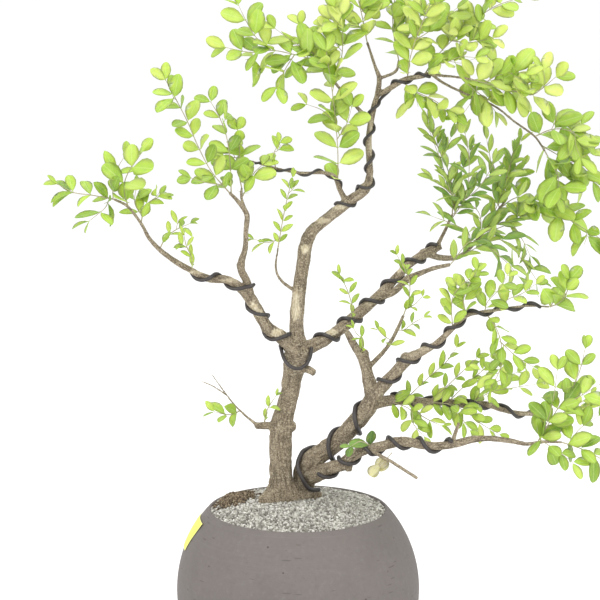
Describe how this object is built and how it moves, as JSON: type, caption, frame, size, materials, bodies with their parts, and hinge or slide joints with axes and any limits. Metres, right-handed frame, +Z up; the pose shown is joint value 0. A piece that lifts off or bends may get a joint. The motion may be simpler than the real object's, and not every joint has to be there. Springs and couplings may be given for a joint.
{
  "type": "bonsai tree in a pot",
  "caption": "Small-leaved bonsai tree with an open, spreading crown, wire wound around its limbs, in a round matte ceramic pot topped with gravel.",
  "frame": {"origin": "centre of the pot's flat foot, on the surface that the pot stands on", "axes": "+Z up along the pot's axis; the tree's front looks along -Y, and its longer limbs reach towards +X"},
  "size_m": [0.5169, 0.2244, 0.6715],
  "materials": {
    "ceramic": "matte",
    "plastic": "matte",
    "soil": "matte",
    "grit": "matte",
    "moss": "matte",
    "paper": "matte",
    "bark": "matte",
    "wire": "satin",
    "leaf": "satin",
    "shade_leaf": "satin",
    "dry_leaf": "matte"
  },
  "bodies": {
    "root": {"drain_net": "plastic", "gravel": "grit", "label": "paper", "moss_patch": "moss", "pot": "ceramic", "soil": "soil", "trunk_and_limbs": "bark", "twig_back": "leaf", "twig_back_down": "leaf", "twig_back_end": "leaf", "twig_back_out": "leaf", "twig_back_up": "leaf", "twig_branch_end": "leaf", "twig_branch_up": "leaf", "twig_crown_low": "leaf", "twig_crown_rise": "leaf", "twig_crown_up": "leaf", "twig_drop_arm": "leaf", "twig_drop_far": "leaf", "twig_drop_out": "leaf", "twig_drop_tip": "leaf", "twig_far_end": "leaf", "twig_far_up": "leaf", "twig_front_leaves": "shade_leaf", "twig_high_left": "leaf", "twig_high_up": "leaf", "twig_inner": "leaf", "twig_left_end": "leaf", "twig_left_mid": "leaf", "twig_left_slim_1": "leaf", "twig_left_slim_2": "leaf", "twig_left_tip": "leaf", "twig_mid_end": "leaf", "twig_mid_hang": "leaf", "twig_mid_rise": "leaf", "twig_mid_up": "leaf", "twig_right_limb_twig": "leaf", "twig_rise_long": "leaf", "twig_rise_mid": "leaf", "twig_rise_right": "leaf", "twig_rise_tall": "leaf", "twig_shade_high": "shade_leaf", "twig_shade_left": "shade_leaf", "twig_shade_low": "shade_leaf", "twig_spray_end": "leaf", "twig_spray_low": "leaf", "twig_stub_leaves": "leaf", "twig_stub_up": "leaf", "twig_top": "leaf", "twig_top_left": "leaf", "twig_upright": "leaf", "twig_withered": "dry_leaf", "wire_back_limb": "wire", "wire_front_limb": "wire", "wire_leader": "wire", "wire_left_limb": "wire", "wire_low_branch": "wire", "wire_low_limb": "wire", "wire_mid_limb": "wire", "wire_right_limb": "wire"}
  },
  "joints": []
}
